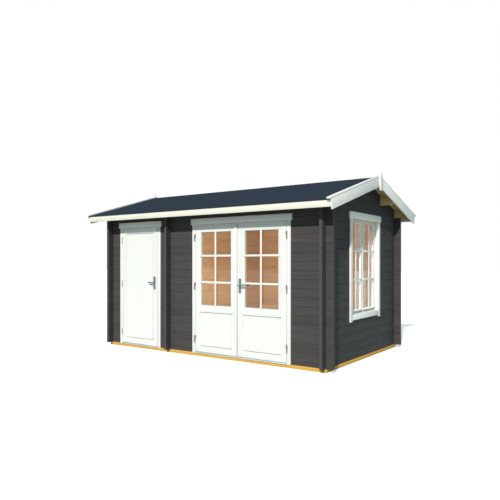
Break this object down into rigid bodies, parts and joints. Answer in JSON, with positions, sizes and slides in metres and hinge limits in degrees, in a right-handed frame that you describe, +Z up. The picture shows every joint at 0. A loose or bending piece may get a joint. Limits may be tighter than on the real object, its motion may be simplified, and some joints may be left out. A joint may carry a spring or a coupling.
{
  "type": "log cabin",
  "caption": "Garden log cabin with a store room, interlocking log corners, a glazed double door, a plank store door and a casement window under a saddle roof.",
  "frame": {"origin": "on the ground plane under the middle of the cabin, where the foundation beams rest", "axes": "+Z up, +X along the front wall from the store door towards the double door, -Y towards the front"},
  "size_m": [4.386, 3.0856, 2.624],
  "materials": {
    "stained_logs": "anthracite wood stain over planed spruce, satin",
    "white_joinery": "opaque white wood paint, satin",
    "bare_spruce": "bare planed spruce",
    "treated_beams": "pressure treated pine, matt",
    "roof_covering": "dark grey sheet covering, matt",
    "pane_glass": "clear float glass",
    "galvanised_steel": "galvanised, dull"
  },
  "bodies": {
    "cabin": {"bargeboards": "white_joinery", "cap_strips": "white_joinery", "door_thresholds": "galvanised_steel", "door_trims": "white_joinery", "double_door_frame": "white_joinery", "fascias": "white_joinery", "finials": "white_joinery", "floor_boards": "bare_spruce", "foundation_beams": "treated_beams", "frame_hinge_pins": "galvanised_steel", "front_roof_boards": "bare_spruce", "front_top_logs": "stained_logs", "front_wall_left": "stained_logs", "front_wall_middle": "stained_logs", "front_wall_right": "stained_logs", "left_gable_wall": "stained_logs", "partition_wall": "stained_logs", "rear_roof_boards": "bare_spruce", "rear_top_logs": "stained_logs", "rear_wall": "stained_logs", "ridge_purlin": "bare_spruce", "right_gable": "stained_logs", "right_wall_front_part": "stained_logs", "right_wall_lower": "stained_logs", "right_wall_rear_part": "stained_logs", "roof_covering": "roof_covering", "side_purlins": "bare_spruce", "single_door_frame": "white_joinery", "window_frame": "white_joinery", "window_glass": "pane_glass", "window_sashes": "white_joinery", "window_trims": "white_joinery"},
    "single_leaf": {"single_door_leaf": "white_joinery", "single_leaf_hinges": "galvanised_steel", "single_lock_plates": "galvanised_steel"},
    "single_lever": {"single_door_lever": "galvanised_steel"},
    "left_leaf": {"left_door_leaf": "white_joinery", "left_door_glass": "pane_glass", "left_leaf_hinges": "galvanised_steel", "meeting_strip": "white_joinery"},
    "right_leaf": {"right_door_leaf": "white_joinery", "right_door_glass": "pane_glass", "right_leaf_hinges": "galvanised_steel", "double_lock_plates": "galvanised_steel"},
    "double_lever": {"double_door_lever": "galvanised_steel"}
  },
  "joints": [
    {"name": "single_door_hinge", "type": "hinge", "parent": "cabin", "child": "single_leaf", "pos_m": [-1.6705, -1.2295, 1], "axis": [0, 0, -1], "range_deg": [0, 110]},
    {"name": "single_door_handle", "type": "hinge", "parent": "single_leaf", "child": "single_lever", "pos_m": [-0.9455, -1.2005, 1.035], "axis": [0, -1, 0], "range_deg": [0, 40], "stiffness_Nm_per_rad": 1.2, "springref_deg": -28.65},
    {"name": "left_leaf_hinge", "type": "hinge", "parent": "cabin", "child": "left_leaf", "pos_m": [-0.1345, -1.2295, 1], "axis": [0, 0, -1], "range_deg": [0, 110]},
    {"name": "right_leaf_hinge", "type": "hinge", "parent": "cabin", "child": "right_leaf", "pos_m": [1.4095, -1.2295, 1], "axis": [0, 0, 1], "range_deg": [0, 110]},
    {"name": "double_door_handle", "type": "hinge", "parent": "right_leaf", "child": "double_lever", "pos_m": [0.669, -1.2005, 1.035], "axis": [0, 1, 0], "range_deg": [0, 40], "stiffness_Nm_per_rad": 1.2, "springref_deg": -28.65}
  ]
}
